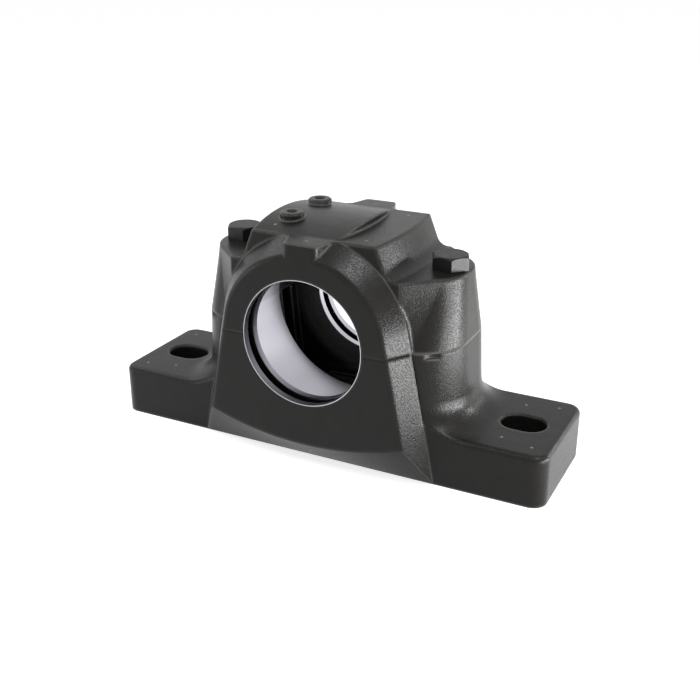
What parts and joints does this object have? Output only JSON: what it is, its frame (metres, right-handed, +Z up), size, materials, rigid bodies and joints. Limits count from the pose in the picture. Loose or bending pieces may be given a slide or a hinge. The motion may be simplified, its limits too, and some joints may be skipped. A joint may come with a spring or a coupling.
{
  "type": "split plummer block housing",
  "caption": "Split cast-iron bearing housing with slotted foot, bolted-on cap, stepped crown, round shaft openings with seal grooves and a turned bearing seat.",
  "frame": {"origin": "middle of the underside, below the shaft's axis", "axes": "+X along the length of the foot, +Y along the shaft towards the rear, +Z up"},
  "size_m": [0.255, 0.096, 0.129],
  "materials": {
    "painted_cast_iron": "dark grey semi-matte paint on a cast skin, bare where turned",
    "bolt_steel": "black oxide",
    "pin_steel": "ground"
  },
  "bodies": {
    "base": {"housing_base": "painted_cast_iron", "dowel_pin_right": "pin_steel", "dowel_pin_left": "pin_steel"},
    "cap": {"housing_cap": "painted_cast_iron"},
    "bolt_right": {"cap_bolt_right": "bolt_steel"},
    "bolt_left": {"cap_bolt_left": "bolt_steel"}
  },
  "joints": [
    {"name": "cap_lift", "type": "slide", "parent": "base", "child": "cap", "axis": [0, 0, 1], "range_m": [0, 0.09]},
    {"name": "bolt_right_draw", "type": "slide", "parent": "cap", "child": "bolt_right", "axis": [0, 0, 1], "range_m": [0, 0.066]},
    {"name": "bolt_left_draw", "type": "slide", "parent": "cap", "child": "bolt_left", "axis": [0, 0, 1], "range_m": [0, 0.066]}
  ]
}
